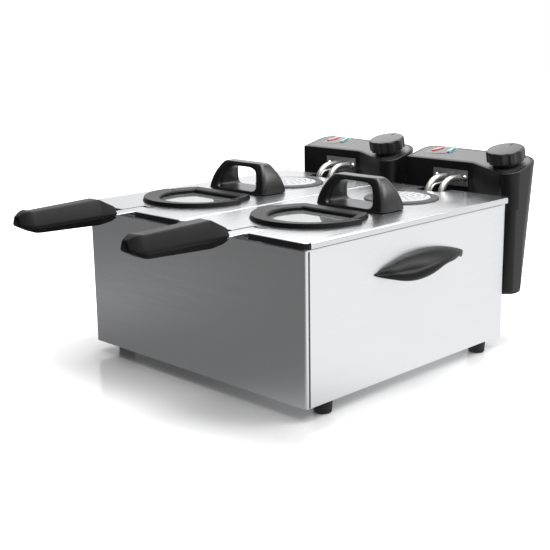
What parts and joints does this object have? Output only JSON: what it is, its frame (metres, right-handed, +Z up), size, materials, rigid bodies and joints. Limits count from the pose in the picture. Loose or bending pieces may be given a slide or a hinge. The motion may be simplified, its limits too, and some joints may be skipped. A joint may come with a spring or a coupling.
{
  "type": "deep fryer",
  "caption": "Table-top deep fryer with twin oil pots in one steel housing, lift-off lids with windows and filters, gripped baskets and rear control units.",
  "frame": {"origin": "centre of the overall footprint at floor level", "axes": "+X to the right seen from the grips, +Y to the control units at the rear, +Z up"},
  "size_m": [0.399, 0.569, 0.2396],
  "materials": {
    "satin_steel": "satin brushed stainless",
    "lid_steel": "smooth stainless",
    "plain_steel": "plain drawn stainless",
    "strap_steel": "satin",
    "screw_steel": "bright",
    "bright_wire": "bright plated wire",
    "element_steel": "drawn tube",
    "black_plastic": "fine grained",
    "fascia_plastic": "smooth",
    "foot_rubber": "matt",
    "clear_glass": "clear",
    "grey_plastic": "smooth",
    "white_plastic": "smooth",
    "filter_felt": "felt",
    "switch_plastic": "moulded",
    "red_lens": "clear red",
    "green_lens": "clear green",
    "reset_plastic": "red"
  },
  "bodies": {
    "housing": {"housing_shell": "satin_steel", "base_plate": "plain_steel", "feet": "foot_rubber", "centre_rail": "plain_steel", "control_guides": "plain_steel", "side_handle_left": "black_plastic", "side_handle_right": "black_plastic"},
    "pot_left": {"oil_pot_left": "plain_steel"},
    "control_left": {"control_housing_left": "black_plastic", "control_cover_left": "black_plastic", "control_fascia_left": "fascia_plastic", "thermostat_left": "switch_plastic", "power_lamp_left": "red_lens", "ready_lamp_left": "green_lens", "element_plate_left": "strap_steel", "element_screws_left": "screw_steel", "heating_element_left": "element_steel", "sensor_tube_left": "element_steel"},
    "dial_left": {"knob_left": "black_plastic", "knob_shaft_left": "screw_steel"},
    "reset_left": {"reset_button_left": "reset_plastic"},
    "basket_left": {"basket_left": "bright_wire", "handle_strap_left": "strap_steel", "grip_upper_left": "black_plastic", "grip_lower_left": "black_plastic"},
    "lid_left": {"lid_panel_left": "lid_steel", "window_frame_left": "black_plastic", "window_glass_left": "clear_glass", "lid_handle_left": "black_plastic", "lid_handle_screws_left": "screw_steel", "filter_ring_left": "grey_plastic", "filter_cover_left": "white_plastic", "filter_mat_left": "filter_felt"},
    "pot_right": {"oil_pot_right": "plain_steel"},
    "control_right": {"control_housing_right": "black_plastic", "control_cover_right": "black_plastic", "control_fascia_right": "fascia_plastic", "thermostat_right": "switch_plastic", "power_lamp_right": "red_lens", "ready_lamp_right": "green_lens", "element_plate_right": "strap_steel", "element_screws_right": "screw_steel", "heating_element_right": "element_steel", "sensor_tube_right": "element_steel"},
    "dial_right": {"knob_right": "black_plastic", "knob_shaft_right": "screw_steel"},
    "reset_right": {"reset_button_right": "reset_plastic"},
    "basket_right": {"basket_right": "bright_wire", "handle_strap_right": "strap_steel", "grip_upper_right": "black_plastic", "grip_lower_right": "black_plastic"},
    "lid_right": {"lid_panel_right": "lid_steel", "window_frame_right": "black_plastic", "window_glass_right": "clear_glass", "lid_handle_right": "black_plastic", "lid_handle_screws_right": "screw_steel", "filter_ring_right": "grey_plastic", "filter_cover_right": "white_plastic", "filter_mat_right": "filter_felt"}
  },
  "joints": [
    {"name": "pot_lift_left", "type": "slide", "parent": "housing", "child": "pot_left", "axis": [0, 0, 1], "range_m": [0, 0.13]},
    {"name": "control_lift_left", "type": "slide", "parent": "pot_left", "child": "control_left", "axis": [0, 0, 1], "range_m": [0, 0.12]},
    {"name": "basket_lift_left", "type": "slide", "parent": "control_left", "child": "basket_left", "axis": [0, 0, 1], "range_m": [0, 0.12]},
    {"name": "lid_lift_left", "type": "slide", "parent": "basket_left", "child": "lid_left", "axis": [0, 0, 1], "range_m": [0, 0.1]},
    {"name": "knob_turn_left", "type": "hinge", "parent": "control_left", "child": "dial_left", "pos_m": [-0.0313, 0.24533, 0.21646], "axis": [0, 0.225, -0.9744], "range_deg": [0, 270]},
    {"name": "reset_press_left", "type": "slide", "parent": "control_left", "child": "reset_left", "axis": [0, -1, 0], "range_m": [0, 0.002], "stiffness_N_per_m": 400},
    {"name": "pot_lift_right", "type": "slide", "parent": "housing", "child": "pot_right", "axis": [0, 0, 1], "range_m": [0, 0.13]},
    {"name": "control_lift_right", "type": "slide", "parent": "pot_right", "child": "control_right", "axis": [0, 0, 1], "range_m": [0, 0.12]},
    {"name": "basket_lift_right", "type": "slide", "parent": "control_right", "child": "basket_right", "axis": [0, 0, 1], "range_m": [0, 0.12]},
    {"name": "lid_lift_right", "type": "slide", "parent": "basket_right", "child": "lid_right", "axis": [0, 0, 1], "range_m": [0, 0.1]},
    {"name": "knob_turn_right", "type": "hinge", "parent": "control_right", "child": "dial_right", "pos_m": [0.1507, 0.24533, 0.21646], "axis": [0, 0.225, -0.9744], "range_deg": [0, 270]},
    {"name": "reset_press_right", "type": "slide", "parent": "control_right", "child": "reset_right", "axis": [0, -1, 0], "range_m": [0, 0.002], "stiffness_N_per_m": 400}
  ]
}
